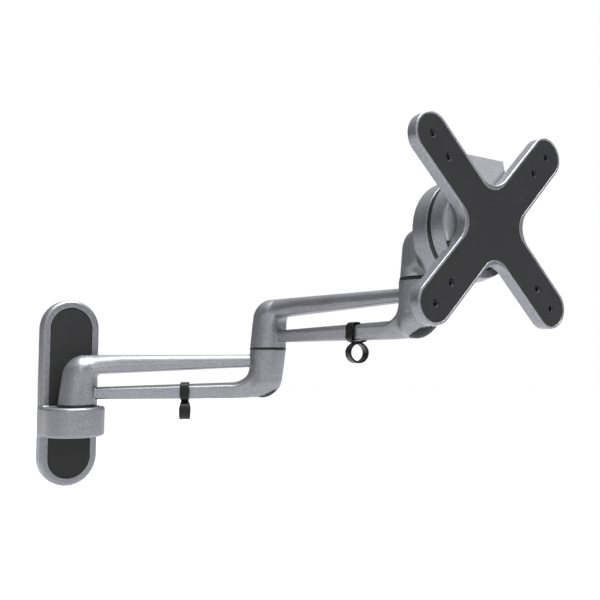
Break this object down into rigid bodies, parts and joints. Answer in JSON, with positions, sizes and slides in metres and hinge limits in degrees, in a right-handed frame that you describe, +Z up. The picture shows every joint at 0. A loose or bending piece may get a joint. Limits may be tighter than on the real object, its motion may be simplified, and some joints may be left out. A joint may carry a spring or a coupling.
{
  "type": "full motion wall mount",
  "caption": "Full motion flat-screen wall mount: stadium wall plate, two stacked slotted cast arms with swivel pivots, a roll drum and a tilting X-shaped screen plate.",
  "frame": {"origin": "middle of the wall plate's back face, on the wall", "axes": "+Z up, +Y into the wall, the room on the -Y side, +X to the right for someone who faces the wall"},
  "size_m": [0.2396, 0.3374, 0.2505],
  "materials": {
    "silver_casting": "satin silver paint, fine grain",
    "silver_sheet": "satin silver paint on flat sheet",
    "wall_cover": "fine matte texture",
    "plate_cover": "fine matte texture",
    "black_plug": "smooth matte",
    "black_clip": "smooth satin",
    "black_nylon": "smooth matte",
    "insert_steel": "turned",
    "bolt_steel": "zinc plated",
    "screw_steel": "zinc plated"
  },
  "bodies": {
    "wall": {"wall_plate": "silver_casting", "upper_cover": "wall_cover", "lower_cover": "wall_cover", "wall_pivot_bush": "black_nylon", "wall_pivot_ring": "black_nylon"},
    "lower_arm": {"inner_arm": "silver_casting", "inner_arm_insert": "insert_steel", "wall_pivot_bolt": "bolt_steel", "wall_spring_washer": "bolt_steel", "inner_arm_cap": "black_plug", "inner_arm_cable_clip": "black_clip", "elbow_bush": "black_nylon", "elbow_ring": "black_nylon"},
    "upper_arm": {"outer_arm": "silver_casting", "outer_arm_insert": "insert_steel", "elbow_pivot_bolt": "bolt_steel", "elbow_spring_washer": "bolt_steel", "outer_arm_cap": "black_plug", "outer_arm_cable_clip": "black_clip", "head_bush": "black_nylon", "head_ring": "black_nylon"},
    "head": {"head_knuckle": "silver_casting", "knuckle_insert": "insert_steel", "head_pivot_bolt": "bolt_steel", "head_spring_washer": "bolt_steel", "roll_insert": "insert_steel", "roll_bolt": "bolt_steel", "roll_washer": "bolt_steel", "roll_ring": "black_nylon"},
    "drum": {"roll_drum": "silver_casting", "roll_bush": "black_nylon", "tilt_bracket": "silver_sheet", "bracket_screws": "screw_steel", "tilt_bolt": "bolt_steel", "tilt_nut": "bolt_steel", "tilt_washers": "black_nylon"},
    "screen": {"screen_plate": "silver_casting", "screen_plate_cover": "plate_cover"}
  },
  "joints": [
    {"name": "wall_swivel", "type": "hinge", "parent": "wall", "child": "lower_arm", "pos_m": [0, -0.0264, -0.0104], "axis": [0, 0, 1], "range_deg": [-145, 29]},
    {"name": "elbow_swivel", "type": "hinge", "parent": "lower_arm", "child": "upper_arm", "pos_m": [0.13358, -0.1089, 0.0361], "axis": [0, 0, -1], "range_deg": [-199, 115]},
    {"name": "head_swivel", "type": "hinge", "parent": "upper_arm", "child": "head", "pos_m": [0.1576, -0.26405, 0.0826], "axis": [0, 0, 1], "range_deg": [-76, 103]},
    {"name": "screen_roll", "type": "hinge", "parent": "head", "child": "drum", "pos_m": [0.15199, -0.33222, 0.1098], "axis": [-0.0819, -0.9966, 0], "range_deg": [-90, 90]},
    {"name": "screen_tilt", "type": "hinge", "parent": "drum", "child": "screen", "pos_m": [0.15263, -0.32445, 0.0938], "axis": [0.9966, -0.0819, 0], "range_deg": [0, 15]}
  ]
}
